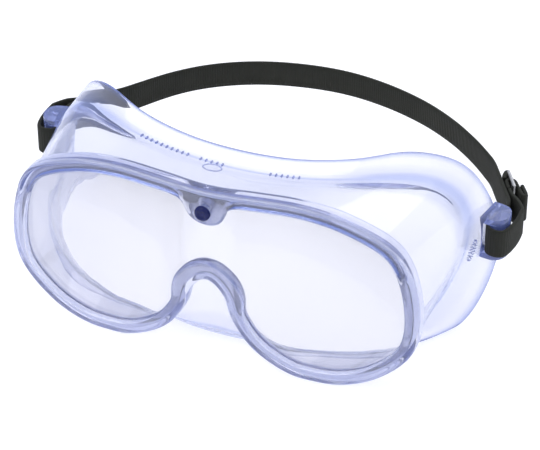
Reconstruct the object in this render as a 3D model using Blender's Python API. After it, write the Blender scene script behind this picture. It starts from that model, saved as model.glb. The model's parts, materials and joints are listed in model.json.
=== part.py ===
"""Safety goggles: soft clear frame, curved lens, lens stud and elastic strap with a slide."""

import math

import bmesh
import bpy
from mathutils import Vector

# Lengths are in metres. +Z is up, the goggles look along -Y, the wearer's left is +X.
MM = 0.001
GAP = 0.3 * MM

# Rim and lens
LENS_BEND = 1.25                 # 1/m: the lens is a cylinder about an upright axis
LENS_THICK = 1.4 * MM
LENS_FRONT = 2.5 * MM            # depth of the lens's front face behind the rim's front
LENS_EDGE = 2.7 * MM             # the lens starts this far inside the rim's outline
RIM_DEPTH = 6.4 * MM
RIM_LIP = 5.2 * MM
WALL = 1.9 * MM
FLANGE = 1.5 * MM
STEPS = 3                        # stations between two outline points

# Stud through the boss
STUD_Z = 61.8 * MM
BOSS_RADIUS = 6.6 * MM
STUD_HEAD_RADIUS = 2.8 * MM
STUD_STEM_RADIUS = 1.5 * MM
STUD_HOLE_RADIUS = 1.8 * MM

# Strap and lugs
STRAP_WIDTH = 11.0 * MM
STRAP_THICK = 1.3 * MM
HINGE_Y = 58.5 * MM
HINGE_Z = 38.0 * MM
LUG_RADIUS = 9.9 * MM            # everything fixed round the lug stays inside this
BAND_RADIUS = 10.3 * MM          # and everything that swings stays outside this
LUG_SEAT = Vector((81.0 * MM, HINGE_Y, HINGE_Z))    # on the flange's outer face, under the bar
LUG_ALONG = Vector((0.175, 0.985, 0.0)).normalized()  # the flange's own direction there
LUG_OUT = Vector((LUG_ALONG.y, -LUG_ALONG.x, 0.0))
BAR_NEAR = 2.6 * MM              # the bar's two faces, measured out from the flange
BAR_FAR = 7.5 * MM
BAR_FRONT = -4.4 * MM            # and its two ends, measured along the flange
BAR_BACK = 3.0 * MM
LUG_HALF = 5.5 * MM              # half the lug's length on the flange
LUG_ARM = 2.2 * MM
LUG_WINDOW = 12.0 * MM

# Slide adjuster, measured along the straight stretch of the strap
RUN_START = Vector((84.6 * MM, 70.0 * MM, HINGE_Z))
RUN_DIRECTION = Vector((-0.5, 0.866, 0.0)).normalized()
RUN_OUT = Vector((RUN_DIRECTION.y, -RUN_DIRECTION.x, 0.0))
SLIDE_HEIGHT = 16.6 * MM
SLIDE_LENGTH = 10.0 * MM
SLIDE_THICK = 1.1 * MM
SLIDE_BAR = 1.6 * MM
SLIDE_CENTRE = 11.7 * MM

# Straight stretch of the strap behind the left lug, with the sewn hem
SEWN_START = Vector((-84.6 * MM, 70.0 * MM, HINGE_Z))
SEWN_DIRECTION = Vector((0.62, 0.785, 0.0)).normalized()
SEWN_OUT = Vector((-SEWN_DIRECTION.y, SEWN_DIRECTION.x, 0.0))

FRONT_TO_CENTRE = 64.0 * MM      # from the rim's front back to the middle of the whole object

# Half outlines in millimetres, from the top centre round the +X side to the nose.
# Rim front: x, z. Bend between wall and flange, and flange edge: x, y, z.
RIM = [
    (0, 69), (17, 70.5), (34, 71.3), (51, 68.3), (67.5, 59.5), (74.2, 41), (73.3, 21), (61.5, 7),
    (46, 0), (31, 0), (17, 7.6), (9, 18.5), (6, 28), (0, 33.2),
]
BEND = [
    (0, 27.5, 62), (18, 28.3, 62.6), (36, 30.3, 64.6), (54, 37.5, 66), (70.5, 48, 61.5), (80, 46.5, 46),
    (74, 37.5, 27), (65.5, 30, 11), (50, 25, 3.6), (36, 20, 3), (25, 15.8, 3), (16, 12.8, 3.4),
    (8, 11.6, 3.7), (0, 11.3, 3.8),
]
EDGE = [
    (0, 32.5, 66), (19.5, 33.8, 66.6), (39, 37.5, 69.3), (56, 46.5, 71), (71.5, 60.5, 61), (82, 65.5, 40),
    (82.5, 65, 19), (75.5, 52, 0), (61, 32, 0), (40, 23.5, 0), (26.5, 19, 0), (16.5, 15.8, 0),
    (8, 14.6, 0), (0, 14.3, 0),
]
# Plan of the head band in millimetres, between its two straight stretches.
BAND = [
    (60.5, 104), (49.5, 113), (36, 121), (20, 127), (3, 130), (-14, 129), (-31, 124.5), (-46, 116.5),
    (-58, 105.5),
]


def clear_scene():
    for item in list(bpy.data.objects):
        bpy.data.objects.remove(item, do_unlink=True)


def make_material(name, colour, roughness, metallic=0.0, alpha=1.0):
    material = bpy.data.materials.new(name)
    material.use_nodes = True
    shader = material.node_tree.nodes["Principled BSDF"]
    shader.inputs["Base Color"].default_value = (*colour, 1.0)
    shader.inputs["Roughness"].default_value = roughness
    shader.inputs["Metallic"].default_value = metallic
    shader.inputs["Alpha"].default_value = alpha
    return material


def finish(mesh, name, material, sharp=35.0):
    """Turn a bmesh into a smooth-shaded object at the origin."""
    mesh.normal_update()
    bmesh.ops.recalc_face_normals(mesh, faces=mesh.faces[:])
    data = bpy.data.meshes.new(name)
    mesh.to_mesh(data)
    mesh.free()
    data.shade_smooth()
    data.set_sharp_from_angle(angle=math.radians(sharp))
    data.materials.append(material)
    item = bpy.data.objects.new(name, data)
    bpy.context.scene.collection.objects.link(item)
    return item


def combine(item, other, operation):
    """Boolean of two objects; the second stays as a hidden cutter."""
    modifier = item.modifiers.new(other.name, "BOOLEAN")
    modifier.object = other
    modifier.operation = operation
    modifier.solver = "EXACT"
    other.hide_render = True
    other.display_type = "WIRE"


def catmull_rom(a, b, c, d, t):
    """Point at t of the smooth curve from b to c."""
    return (b * 2 + (c - a) * t + (a * 2 - b * 5 + c * 4 - d) * t ** 2
            + (b * 3 - a - c * 3 + d) * t ** 3) / 2


def closed_curve(points, steps):
    count = len(points)
    return [
        catmull_rom(points[i - 1], points[i], points[(i + 1) % count], points[(i + 2) % count], k / steps)
        for i in range(count)
        for k in range(steps)
    ]


def open_curve(points, steps):
    last = len(points) - 1
    curve = [
        catmull_rom(points[max(i - 1, 0)], points[i], points[i + 1], points[min(i + 2, last)], k / steps)
        for i in range(last)
        for k in range(steps)
    ]
    return curve + [points[last]]


def whole_outline(half):
    """Mirror a half outline in X and smooth it into one closed loop, no lower than the table."""
    right = [Vector(p) * MM for p in half]
    left = [Vector((-p.x, p.y, p.z)) for p in right[-2:0:-1]]
    curve = closed_curve(right + left, STEPS)
    return [Vector((p.x, p.y, max(p.z, 0.0))) for p in curve]


def lens_depth(x):
    return LENS_BEND * x * x / 2


def loop_tangents(loop):
    count = len(loop)
    return [(loop[(i + 1) % count] - loop[i - 1]).normalized() for i in range(count)]


def rim_loop(inward, depth):
    """Loop on the rim: so far inside its outline, and so far behind its front."""
    front = whole_outline([(x, 0, z) for x, z in RIM])
    loop = []
    for point, along in zip(front, loop_tangents(front)):
        x = point.x + along.z * inward
        z = max(point.z - along.x * inward, 0.0)
        loop.append(Vector((x, lens_depth(x) + depth, z)))
    return loop


def lerp_loops(first, second, share):
    return [a.lerp(b, share) for a, b in zip(first, second)]


def offset_loop(loop, toward, thickness):
    """Loop moved to the inner side of a wall that runs from loop to toward."""
    moved = []
    for point, target, along in zip(loop, toward, loop_tangents(loop)):
        outward = along.cross((target - point).normalized()).normalized()
        moved.append(point - outward * thickness)
    return moved


def frame_sections():
    """Loops round the frame, from the lip's tip over the outside to the face side and back."""
    bend = whole_outline(BEND)
    edge = whole_outline(EDGE)
    wall_start = rim_loop(1.9 * MM, RIM_DEPTH + 0.6 * MM)
    inner_start = rim_loop(1.9 * MM + WALL, RIM_DEPTH + 0.9 * MM)
    past_edge = [e * 2 - b for b, e in zip(bend, edge)]
    flange_in = offset_loop(edge, past_edge, FLANGE)
    wall_in = offset_loop(bend, past_bend(wall_start, bend), WALL)
    bend_in = lerp_loops(wall_in, offset_loop(bend, edge, FLANGE), 0.5)
    groove_front = LENS_FRONT - GAP
    groove_back = LENS_FRONT + LENS_THICK + GAP
    groove_floor = LENS_EDGE - GAP
    return [
        rim_loop(RIM_LIP, 1.2 * MM),
        rim_loop(RIM_LIP - 1.2 * MM, 0.2 * MM),
        rim_loop(1.6 * MM, 0.0),
        rim_loop(0.5 * MM, 0.5 * MM),
        rim_loop(0.0, 1.6 * MM),
        rim_loop(0.0, RIM_DEPTH - 0.6 * MM),
        rim_loop(0.6 * MM, RIM_DEPTH),
        wall_start,
        lerp_loops(wall_start, bend, 0.35),
        lerp_loops(wall_start, bend, 0.7),
        bend,
        edge,
        flange_in,
        bend_in,
        lerp_loops(inner_start, bend_in, 0.7),
        lerp_loops(inner_start, bend_in, 0.35),
        inner_start,
        rim_loop(RIM_LIP, groove_back + 1.2 * MM),
        rim_loop(RIM_LIP, groove_back),
        rim_loop(groove_floor, groove_back),
        rim_loop(groove_floor, groove_front),
        rim_loop(RIM_LIP, groove_front),
    ]


def past_bend(start, bend):
    """Points beyond the bend on the wall's own line, to aim the wall's offset."""
    return [b * 2 - a for a, b in zip(start, bend)]


def make_frame(material):
    mesh = bmesh.new()
    rings = [ring(mesh, loop) for loop in frame_sections()]
    for first, second in zip(rings, rings[1:] + rings[:1]):
        bmesh.ops.bridge_loops(mesh, edges=first + second)
    bmesh.ops.triangulate(mesh, faces=mesh.faces[:])
    return finish(mesh, "goggle_frame", material)


def ring(mesh, loop):
    """Closed edge loop through the given points."""
    verts = [mesh.verts.new(point) for point in loop]
    return [mesh.edges.new((a, b)) for a, b in zip(verts, verts[1:] + verts[:1])]


def cylinder(name, material, radius, start, end, segments=24):
    """Solid cylinder between two points."""
    axis = end - start
    turn = axis.to_track_quat("Z", "Y").to_matrix().to_4x4()
    turn.translation = (start + end) / 2
    mesh = bmesh.new()
    bmesh.ops.create_cone(
        mesh, cap_ends=True, segments=segments, radius1=radius, radius2=radius,
        depth=axis.length, matrix=turn,
    )
    return finish(mesh, name, material)


def add_boss(frame, material):
    """Two ears, before and behind the lens, that carry the stud."""
    middle = Vector((0, 0, STUD_Z))
    back = LENS_FRONT + LENS_THICK + GAP
    ears = {"boss_front": (-0.4 * MM, LENS_FRONT - GAP), "boss_back": (back, back + 1.9 * MM)}
    for name, (near, far) in ears.items():
        start = middle + Vector((0, near, 0))
        end = middle + Vector((0, far, 0))
        ear = cylinder(name, material, BOSS_RADIUS, start, end, 32)
        combine(frame, ear, "UNION")
    hole = stud_hole("frame_stud_hole", material)
    combine(frame, hole, "DIFFERENCE")


def stud_hole(name, material):
    start = Vector((0, -0.01, STUD_Z))
    return cylinder(name, material, STUD_HOLE_RADIUS, start, Vector((0, 0.012, STUD_Z)), 20)


def add_lugs(frame, material):
    """Strap lugs: an upright bar held off the flange by a rounded arm above and below."""
    window = LUG_WINDOW / 2
    far_away = 20 * MM
    for side, word in ((1, "right"), (-1, "left")):
        lug = lug_arms(word, material, side)
        cuts = {
            "slot": ((-far_away, far_away), (0.35 * MM, BAR_NEAR)),
            "front": ((-far_away, BAR_FRONT), (0.35 * MM, far_away)),
            "back": ((BAR_BACK, far_away), (0.35 * MM, far_away)),
        }
        for name, (along, out) in cuts.items():
            cutter = lug_box("lug_" + name + "_" + word, material, side, along, out, window)
            combine(lug, cutter, "DIFFERENCE")
        combine(frame, lug, "UNION")


def lug_arms(word, material, side):
    """Block with a half-round outline, reaching out from the flange."""
    outline = [(-LUG_HALF, -0.9 * MM)]
    for k in range(9):
        turn = math.pi * k / 8
        out = 1.5 * MM + (BAR_FAR - 1.5 * MM) * math.sin(turn) ** 0.7
        outline.append((-LUG_HALF * math.cos(turn), out))
    outline.append((LUG_HALF, -0.9 * MM))
    mesh = bmesh.new()
    half = LUG_WINDOW / 2 + LUG_ARM
    drop = Vector((0, 0, half))
    verts = [mesh.verts.new(lug_point(side, a, o) - drop) for a, o in outline]
    mesh.faces.new(verts)
    solid = bmesh.ops.extrude_face_region(mesh, geom=mesh.faces[:])
    top = [v for v in solid["geom"] if isinstance(v, bmesh.types.BMVert)]
    bmesh.ops.translate(mesh, vec=drop * 2, verts=top)
    return finish(mesh, "lug_" + word, material)


def lug_point(side, along, out):
    """Point at the strap's mid-height, in the lug's own directions."""
    point = LUG_SEAT + LUG_ALONG * along + LUG_OUT * out
    return Vector((side * point.x, point.y, point.z))


def lug_box(name, material, side, along, out, half_height):
    """Box in the lug's own directions: along the flange, out from it, and up."""
    mesh = bmesh.new()
    bmesh.ops.create_cube(mesh, size=1.0)
    for vert in mesh.verts:
        a = along[0] if vert.co.x < 0 else along[1]
        o = out[0] if vert.co.y < 0 else out[1]
        up = half_height if vert.co.z > 0 else -half_height
        vert.co = lug_point(side, a, o) + Vector((0, 0, up))
    return finish(mesh, name, material)


def make_lens(material):
    """Plate cut to the groove's outline, then bent to the rim's curve."""
    mesh = bmesh.new()
    loop = rim_loop(LENS_EDGE, 0.0)
    verts = [mesh.verts.new((p.x, 0, p.z)) for p in loop]
    mesh.faces.new(verts)
    cut_spacing = 9 * MM
    for k in range(-8, 9):
        geometry = mesh.verts[:] + mesh.edges[:] + mesh.faces[:]
        bmesh.ops.bisect_plane(mesh, geom=geometry, plane_co=(k * cut_spacing, 0, 0), plane_no=(1, 0, 0))
    sheet = bmesh.ops.extrude_face_region(mesh, geom=mesh.faces[:])
    back = [v for v in sheet["geom"] if isinstance(v, bmesh.types.BMVert)]
    bmesh.ops.translate(mesh, vec=(0, LENS_THICK, 0), verts=back)
    for vert in mesh.verts:
        vert.co.y += LENS_FRONT + lens_depth(vert.co.x)
    bmesh.ops.triangulate(mesh, faces=mesh.faces[:])
    lens = finish(mesh, "lens", material)
    combine(lens, stud_hole("lens_stud_hole", material), "DIFFERENCE")
    return lens


def turned(name, material, profile, segments=28):
    """Solid turned about the stud's axis; the profile holds radius and depth."""
    mesh = bmesh.new()
    verts = [mesh.verts.new((radius, depth, 0)) for radius, depth in profile]
    edges = [mesh.edges.new(pair) for pair in zip(verts, verts[1:])]
    if profile[0][0] > 0:
        edges.append(mesh.edges.new((verts[-1], verts[0])))
    bmesh.ops.spin(
        mesh, geom=verts + edges, cent=(0, 0, 0), axis=(0, 1, 0), angle=math.tau,
        steps=segments, use_merge=True,
    )
    bmesh.ops.remove_doubles(mesh, verts=mesh.verts, dist=0.01 * MM)
    item = finish(mesh, name, material)
    item.location = (0, 0, STUD_Z)
    return item


def make_stud(material):
    seat = -0.4 * MM - GAP
    head = STUD_HEAD_RADIUS
    stem = STUD_STEM_RADIUS
    profile = [
        (0, seat - 1.7 * MM), (head * 0.55, seat - 1.6 * MM), (head * 0.85, seat - 1.2 * MM),
        (head, seat - 0.6 * MM), (head, seat), (stem, seat), (stem, 8.3 * MM),
        (stem - 0.5 * MM, 9.0 * MM), (0, 9.0 * MM),
    ]
    return turned("lens_stud", material, profile)


def make_collar(material):
    front = LENS_FRONT + LENS_THICK + GAP + 1.9 * MM + GAP
    inner = STUD_HOLE_RADIUS
    outer = 2.8 * MM
    profile = [
        (inner, front), (outer, front), (outer, front + 1.2 * MM), (outer - 0.4 * MM, front + 1.8 * MM),
        (inner, front + 1.8 * MM),
    ]
    return turned("stud_collar", material, profile)


def ribbon(name, material, path, width=STRAP_WIDTH, thick=STRAP_THICK):
    """Flat strap on edge: its faces are upright and follow the path."""
    mesh = bmesh.new()
    corners = []
    last = len(path) - 1
    for i, point in enumerate(path):
        along = (path[min(i + 1, last)] - path[max(i - 1, 0)]).normalized()
        out = Vector((along.y, -along.x, 0)).normalized() * thick / 2
        up = Vector((0, 0, width / 2))
        square = (point + out + up, point - out + up, point - out - up, point + out - up)
        corners.append([mesh.verts.new(p) for p in square])
    for a, b in zip(corners, corners[1:]):
        for k in range(4):
            mesh.faces.new((a[k], a[k - 1], b[k - 1], b[k]))
    mesh.faces.new(corners[0])
    mesh.faces.new(corners[-1])
    return finish(mesh, name, material)


def swing_cylinder(name, material, radius):
    reach = Vector((0.1, 0, 0))
    middle = Vector((0, HINGE_Y, HINGE_Z))
    return cylinder(name, material, radius, middle - reach, middle + reach, 48)


def make_strap_loop(side, word, material):
    """Turn of elastic round one lug's bar; its two ends meet the swinging strap."""
    plan = [
        (14, 6.4), (9.5, 7.5), (5.5, 8.35), (1.5, 8.75), (-2.4, 8.7), (-4.9, 8.0), (-6.1, 6.4), (-6.3, 4.6),
        (-5.9, 3.0), (-4.9, 1.9), (-3, 1.5), (0.5, 1.5), (4, 1.5), (8, 1.55), (13, 1.4),
    ]
    points = [lug_point(side, along * MM, out * MM) for along, out in plan]
    loop = ribbon("strap_loop_" + word, material, open_curve(points, 2))
    combine(loop, swing_cylinder("loop_limit_" + word, material, LUG_RADIUS), "INTERSECT")
    return loop


def on_run(along, out):
    """Point beside the strap's straight stretch."""
    return RUN_START + RUN_DIRECTION * along + RUN_OUT * out


def on_sewn(along, out):
    """Point beside the straight stretch behind the left lug."""
    return SEWN_START + SEWN_DIRECTION * along + SEWN_OUT * out


def make_head_band(material):
    middle = [Vector((x * MM, y * MM, HINGE_Z)) for x, y in BAND]
    right = [lug_point(1, 8 * MM, 1.55 * MM), lug_point(1, 10.3 * MM, 1.6 * MM), on_run(2 * MM, 0)]
    left = [on_sewn(2 * MM, 0), lug_point(-1, 10.3 * MM, 1.6 * MM), lug_point(-1, 8 * MM, 1.55 * MM)]
    start = [on_run(20 * MM, 0), on_run(25 * MM, -0.1 * MM), on_run(30 * MM, -0.9 * MM)]
    end = [on_sewn(24 * MM, 0), on_sewn(20 * MM, 0)]
    arc = open_curve(start + middle + end, 3)
    band = ribbon("head_band", material, right + arc + left)
    combine(band, swing_cylinder("band_limit", material, BAND_RADIUS), "DIFFERENCE")
    return band


def make_strap_return(material):
    """Outer leg from the right lug to the adjuster."""
    points = [
        lug_point(1, 8 * MM, 7.8 * MM), lug_point(1, 11 * MM, 6.9 * MM), on_run(0.5 * MM, 3.1 * MM),
        on_run(4 * MM, 2.1 * MM), on_run(7.9 * MM, 1.65 * MM),
    ]
    leg = ribbon("strap_return", material, open_curve(points, 3), thick=1.2 * MM)
    combine(leg, swing_cylinder("return_limit", material, BAND_RADIUS), "DIFFERENCE")
    return leg


def make_sewn_end(material):
    """Strap end behind the left lug, laid back on the band and sewn down."""
    points = [
        lug_point(-1, 8 * MM, 7.8 * MM), lug_point(-1, 11 * MM, 6.9 * MM), on_sewn(0.5 * MM, 3.2 * MM),
        on_sewn(4 * MM, 2.1 * MM), on_sewn(8 * MM, 1.65 * MM), on_sewn(13 * MM, 1.65 * MM),
        on_sewn(18 * MM, 1.65 * MM),
    ]
    end = ribbon("strap_sewn_end", material, open_curve(points, 3))
    combine(end, swing_cylinder("sewn_limit", material, BAND_RADIUS), "DIFFERENCE")
    return end


def make_slide(material):
    """Three-bar slide: a plate on edge with two windows."""
    mesh = bmesh.new()
    half = SLIDE_LENGTH / 2
    tall = SLIDE_HEIGHT / 2
    rail = tall - 1.5 * MM
    bar = SLIDE_BAR
    columns = [-half, -half + bar, -bar / 2, bar / 2, half - bar, half]
    rows = [-tall, -rail, rail, tall]
    grid = [[mesh.verts.new(slide_point(s, z)) for z in rows] for s in columns]
    for i in range(5):
        for j in range(3):
            if j == 1 and i in (1, 3):
                continue
            mesh.faces.new((grid[i][j], grid[i + 1][j], grid[i + 1][j + 1], grid[i][j + 1]))
    sheet = bmesh.ops.extrude_face_region(mesh, geom=mesh.faces[:])
    moved = [v for v in sheet["geom"] if isinstance(v, bmesh.types.BMVert)]
    bmesh.ops.translate(mesh, vec=RUN_OUT * SLIDE_THICK, verts=moved)
    edges = [e for e in mesh.edges if e.calc_face_angle(0) > 0.5]
    bmesh.ops.bevel(mesh, geom=edges, offset=0.3 * MM, segments=1, profile=0.5, affect="EDGES", material=-1)
    return finish(mesh, "slide_buckle", material)


def slide_point(along, up):
    return on_run(SLIDE_CENTRE + along, 2.6 * MM) + Vector((0, 0, up))


def make_strap_wrap(material):
    """Strap end that passes under the slide's front bar and round its middle bar."""
    plan = [
        (8.3, 1.65), (10.5, 1.65), (12.4, 1.7), (13.5, 2.3), (13.7, 3.2), (13.3, 4.2), (12.1, 4.75),
        (10.1, 4.9), (7.2, 5.1), (3.8, 5.3),
    ]
    points = [on_run(s * MM, out * MM) for s, out in plan]
    return ribbon("strap_wrap", material, open_curve(points, 2), thick=1.2 * MM)


def make_strap_hem(material):
    """Doubled end of the wrap, folded over on its outside."""
    points = [on_run(along * MM, (7.0 - 0.05 * along) * MM) for along in (3.8, 6.6, 9.4)]
    return ribbon("strap_hem", material, points, thick=1.3 * MM)


def make_strap_tail(material):
    """Free end of the strap behind the slide, with rounded corners."""
    mesh = bmesh.new()
    start = 17.0 * MM
    end = 21.5 * MM
    half = STRAP_WIDTH / 2
    radius = 3.2 * MM
    outline = [(start, -half), (end - radius, -half)]
    for k in range(1, 6):
        turn = math.radians(15 * k)
        outline.append((end - radius + radius * math.sin(turn), -half + radius - radius * math.cos(turn)))
    outline += [(s, -z) for s, z in reversed(outline)]
    out = 1.65 * MM
    verts = [mesh.verts.new(on_run(s, out + (s - start) * 0.6) + Vector((0, 0, z))) for s, z in outline]
    mesh.faces.new(verts)
    sheet = bmesh.ops.extrude_face_region(mesh, geom=mesh.faces[:])
    moved = [v for v in sheet["geom"] if isinstance(v, bmesh.types.BMVert)]
    bmesh.ops.translate(mesh, vec=RUN_OUT * STRAP_THICK, verts=moved)
    bmesh.ops.translate(mesh, vec=RUN_OUT * -STRAP_THICK / 2, verts=mesh.verts)
    return finish(mesh, "strap_tail", material)


def place_on_origin():
    """Move everything so that the origin is under the middle of the object."""
    for item in bpy.data.objects:
        item.location.y -= FRONT_TO_CENTRE


def main():
    clear_scene()
    pvc = make_material("clear_pvc", (0.80, 0.81, 0.95), 0.12, alpha=0.35)
    lens_clear = make_material("lens_polycarbonate", (0.93, 0.93, 0.98), 0.05, alpha=0.2)
    navy = make_material("stud_plastic", (0.02, 0.03, 0.12), 0.25)
    elastic = make_material("strap_elastic", (0.05, 0.052, 0.045), 0.85)
    metal = make_material("slide_steel", (0.55, 0.55, 0.56), 0.3, metallic=1.0)
    frame = make_frame(pvc)
    add_lugs(frame, pvc)
    add_boss(frame, pvc)
    make_lens(lens_clear)
    make_stud(navy)
    make_collar(pvc)
    make_strap_loop(1, "right", elastic)
    make_strap_loop(-1, "left", elastic)
    make_head_band(elastic)
    make_strap_return(elastic)
    make_sewn_end(elastic)
    make_slide(metal)
    make_strap_wrap(elastic)
    make_strap_hem(elastic)
    make_strap_tail(elastic)
    place_on_origin()


main()
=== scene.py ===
import json
import math

import bmesh
import bpy
import numpy as np
from mathutils import Matrix, Vector
from mathutils.kdtree import KDTree


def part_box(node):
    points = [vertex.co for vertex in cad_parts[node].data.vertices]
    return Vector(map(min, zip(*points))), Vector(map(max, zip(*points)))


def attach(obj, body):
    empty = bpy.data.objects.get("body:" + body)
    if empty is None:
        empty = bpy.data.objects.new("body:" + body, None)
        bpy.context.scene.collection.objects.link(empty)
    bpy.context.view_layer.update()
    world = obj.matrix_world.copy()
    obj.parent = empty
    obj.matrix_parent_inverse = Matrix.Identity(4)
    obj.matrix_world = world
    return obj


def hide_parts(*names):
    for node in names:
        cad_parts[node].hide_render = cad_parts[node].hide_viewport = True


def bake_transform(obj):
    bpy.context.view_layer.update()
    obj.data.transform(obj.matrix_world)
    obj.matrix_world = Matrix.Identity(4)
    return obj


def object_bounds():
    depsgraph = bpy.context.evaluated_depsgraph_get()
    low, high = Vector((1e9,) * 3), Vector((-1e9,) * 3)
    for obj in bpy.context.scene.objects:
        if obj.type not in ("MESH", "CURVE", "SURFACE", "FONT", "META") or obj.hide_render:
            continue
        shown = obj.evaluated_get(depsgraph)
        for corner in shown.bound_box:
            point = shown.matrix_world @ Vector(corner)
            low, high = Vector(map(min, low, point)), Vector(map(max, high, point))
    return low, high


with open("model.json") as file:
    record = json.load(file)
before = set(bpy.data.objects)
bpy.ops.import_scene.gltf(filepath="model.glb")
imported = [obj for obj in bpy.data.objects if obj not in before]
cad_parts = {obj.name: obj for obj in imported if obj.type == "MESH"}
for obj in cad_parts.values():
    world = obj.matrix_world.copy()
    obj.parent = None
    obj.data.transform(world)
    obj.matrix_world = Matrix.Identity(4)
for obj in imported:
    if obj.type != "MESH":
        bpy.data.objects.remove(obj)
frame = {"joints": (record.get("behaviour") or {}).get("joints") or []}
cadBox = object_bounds()
mm = 0.001

# fixed points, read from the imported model
joints = {joint["name"]: joint for joint in frame["joints"]}
hinge = np.array(joints["strap_swing"]["pos_m"]) / mm
slideWay = np.array(joints["adjuster_slide"]["axis"][:2])
lensFront = 2.5
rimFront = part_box("lens")[0].y / mm - lensFront
studHeight = (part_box("lens_stud")[0].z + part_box("lens_stud")[1].z) / 2 / mm


class Wire:
    # a socket of a material's nodes that takes part in Python arithmetic
    def __init__(self, tree, socket=None):
        self.tree = tree
        self.socket = socket

    def node(self, kind, settings=None, values=None, output=0):
        made = self.tree.nodes.new(kind)
        for name, value in (settings or {}).items():
            setattr(made, name, value)
        for name, value in (values or {}).items():
            if isinstance(value, Wire):
                self.tree.links.new(value.socket, made.inputs[name])
            else:
                made.inputs[name].default_value = value
        return Wire(self.tree, made.outputs[output])

    def math(self, operation, first, second=0.0):
        return self.node("ShaderNodeMath", {"operation": operation}, {0: first, 1: second})

    def __add__(self, other):
        return self.math("ADD", self, other)

    def __radd__(self, other):
        return self.math("ADD", other, self)

    def __sub__(self, other):
        return self.math("SUBTRACT", self, other)

    def __rsub__(self, other):
        return self.math("SUBTRACT", other, self)

    def __mul__(self, other):
        return self.math("MULTIPLY", self, other)

    def __rmul__(self, other):
        return self.math("MULTIPLY", other, self)

    def wave(self):
        return self.math("SINE", self * math.tau)

    def size(self):
        return self.math("ABSOLUTE", self)

    def blend(self, low, high):
        # colour from low to high as this value goes from 0 to 1
        return self.node("ShaderNodeMix", {"data_type": "RGBA"}, {0: self, 6: low, 7: high}, 2)

    def bump(self, strength, distance):
        values = {"Strength": strength, "Distance": distance, "Height": self}
        return self.node("ShaderNodeBump", None, values)

    def place(self):
        # the piece's own coordinates
        return self.node("ShaderNodeTexCoord", output=3)

    def noise(self, scale, detail):
        # noise at this place
        values = {"Vector": self, "Scale": scale, "Detail": detail}
        return self.node("ShaderNodeTexNoise", None, values)


def newMaterial(name):
    material = bpy.data.materials.new(name)
    material.use_nodes = True
    material.node_tree.nodes.clear()
    return material, Wire(material.node_tree)


def finishMaterial(wire, surface, volume=None):
    output = wire.tree.nodes.new("ShaderNodeOutputMaterial")
    wire.tree.links.new(surface.socket, output.inputs["Surface"])
    if volume:
        wire.tree.links.new(volume.socket, output.inputs["Volume"])


def clearPlastic(name, look):
    # refracting plastic, tinted more where it is thicker, that lets the lamps' light through
    material, wire = newMaterial(name)
    place = wire.place()
    flow = place.noise(look["flowScale"], 2.0)
    grain = place.noise(look["grainScale"], 3.0)
    haze = place.noise(look["hazeScale"], 4.0)
    relief = (flow + grain * look["grainShare"]).bump(look["bump"], look["bumpDepth"])
    colour = haze.blend(look["clear"], look["cloudy"])
    # painted shade: deep blue blended into the colour where the mesh's attribute marks creases, channel
    # walls, corners, cut edges, lugs and marks
    if look["edge"]:
        paintedShade = wire.node("ShaderNodeAttribute", {"attribute_name": "paintedShade"}, output=2)
        paintedShade = paintedShade * (haze * 0.5 + 0.75)
        colour = paintedShade.blend(colour, look["edge"])
    body = wire.node("ShaderNodeBsdfPrincipled", None, {
        "Base Color": colour,
        "Roughness": haze * look["roughSpread"] + look["rough"],
        "IOR": look["ior"],
        "Transmission Weight": look["through"],
        "Normal": relief,
    })
    # a blue diffuse layer whose share grows at glancing angles and with the painted shade in creases, over a
    # little real haze everywhere
    if look["edge"]:
        glancing = wire.node("ShaderNodeLayerWeight", None, {"Blend": 0.5}, 1)
        glancing = wire.math("POWER", glancing, 3.0)
        share = glancing * look["edgeOn"] + paintedShade * look["inCrease"] + look["milk"]
        hazeAndShade = wire.node("ShaderNodeBsdfPrincipled", None, {
            "Base Color": haze.blend(look["hazeShadeClear"], look["hazeShadeDeep"]),
            "Roughness": grain * 0.2 + 0.15,
            "Normal": relief,
        })
        body = wire.node("ShaderNodeMixShader", None, {0: share, 1: body, 2: hazeAndShade})
    shadow = wire.node("ShaderNodeBsdfTransparent", None, {"Color": look["shadow"]})
    lamp = wire.node("ShaderNodeLightPath", output=1)
    surface = wire.node("ShaderNodeMixShader", None, {0: lamp, 1: body, 2: shadow})
    values = {"Color": look["deep"], "Density": look["density"]}
    depth = wire.node("ShaderNodeVolumeAbsorption", None, values)
    finishMaterial(wire, surface, depth)
    return material


def skin(rows, joinRows=False, joinColumns=True):
    # a grid laid over rows of points in mm, with its seams merged; u runs along the rows, v across them
    rows = np.asarray(rows, float) * mm
    if joinRows:
        rows = np.concatenate([rows, rows[:1]])
    if joinColumns:
        rows = np.concatenate([rows, rows[:, :1]], axis=1)
    mesh = bmesh.new()
    mesh.loops.layers.uv.new("UVMap")
    across = rows.shape[0] - 1
    down = rows.shape[1] - 1
    bmesh.ops.create_grid(mesh, x_segments=across, y_segments=down, size=1.0, calc_uvs=True)
    for vert in mesh.verts:
        i = round((vert.co.x + 1) / 2 * across)
        j = round((vert.co.y + 1) / 2 * down)
        vert.co = rows[i, j]
    bmesh.ops.remove_doubles(mesh, verts=mesh.verts[:], dist=1e-7)
    mesh.edges.ensure_lookup_table()
    ends = [edge for edge in mesh.edges if edge.is_boundary]
    if ends:
        bmesh.ops.holes_fill(mesh, edges=ends)
    faceOut(mesh)
    return mesh


def makePiece(name, mesh, material, sharp=40):
    data = bpy.data.meshes.new(name)
    mesh.to_mesh(data)
    mesh.free()
    data.shade_smooth()
    data.set_sharp_from_angle(angle=math.radians(sharp))
    data.materials.append(material)
    piece = bpy.data.objects.new(name, data)
    bpy.context.scene.collection.objects.link(piece)
    return piece


def roundEdges(mesh, edges, offset, segments, clamp=False):
    bmesh.ops.bevel(
        mesh, geom=edges, offset=offset, segments=segments, profile=0.5, affect="EDGES", material=-1,
        clamp_overlap=clamp)


def sharpEdges(mesh, angle):
    return [edge for edge in mesh.edges if edge.is_manifold and edge.calc_face_angle(0) > angle]


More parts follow.
